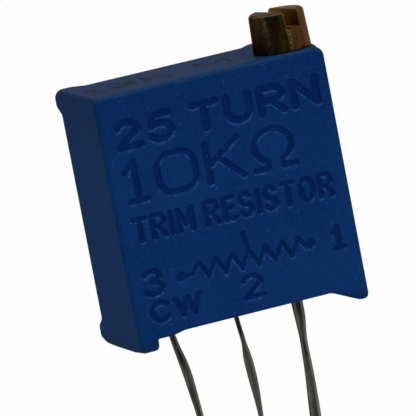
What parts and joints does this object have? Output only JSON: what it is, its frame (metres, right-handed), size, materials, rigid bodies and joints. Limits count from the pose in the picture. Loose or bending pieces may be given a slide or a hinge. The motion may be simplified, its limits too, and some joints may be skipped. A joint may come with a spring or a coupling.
{
  "type": "trimmer potentiometer",
  "caption": "Square top-adjust multi-turn trimmer potentiometer with a worm-driven wiper, a slotted brass screw and three twisted flat leads.",
  "frame": {"origin": "middle of the row of leads, in the plane of the feet, where the part meets its board", "axes": "+X from terminal 3 to terminal 1, +Y from the marked front face to the back, +Z from the leads to the screw"},
  "size_m": [0.0096, 0.0048, 0.0178],
  "materials": {
    "body_plastic": "moulded, semi-gloss with a fine grain",
    "brass": "turned, dulled",
    "tinned_lead": "tinned, satin",
    "solder": "satin",
    "nylon": "moulded, satin",
    "alumina": "fired, matte",
    "cermet": "printed, fired, satin",
    "silver_print": "printed, fired, satin",
    "spring_metal": "rolled, satin",
    "clip_steel": "stamped",
    "seal_rubber": "satin",
    "epoxy": "poured, glossy"
  },
  "bodies": {
    "housing": {"housing": "body_plastic", "retaining_clip": "clip_steel", "ceramic_plate": "alumina", "resistance_track": "cermet", "collector_ring": "silver_print", "conductor_1": "silver_print", "conductor_2": "silver_print", "conductor_3": "silver_print", "solder_joint_1": "solder", "solder_joint_2": "solder", "solder_joint_3": "solder", "lead_1": "tinned_lead", "lead_2": "tinned_lead", "lead_3": "tinned_lead", "sealing_compound": "epoxy"},
    "screw": {"adjusting_screw": "brass", "shaft_seal": "seal_rubber"},
    "rotor": {"worm_wheel": "nylon", "wiper_spring": "spring_metal"}
  },
  "joints": [
    {"name": "screw_turn", "type": "hinge", "parent": "housing", "child": "screw", "pos_m": [0.00354, -0.00114, 0.01], "axis": [0, 0, 1], "range_deg": [-4500, 4500]},
    {"name": "wheel_turn", "type": "hinge", "parent": "housing", "child": "rotor", "pos_m": [-0.00015, -0.00114, 0.0058], "axis": [0, 1, 0], "range_deg": [-145.2, 145.2]}
  ],
  "couplings": [
    {"joint": "wheel_turn", "follows": "screw_turn", "ratio": 0.032258}
  ]
}
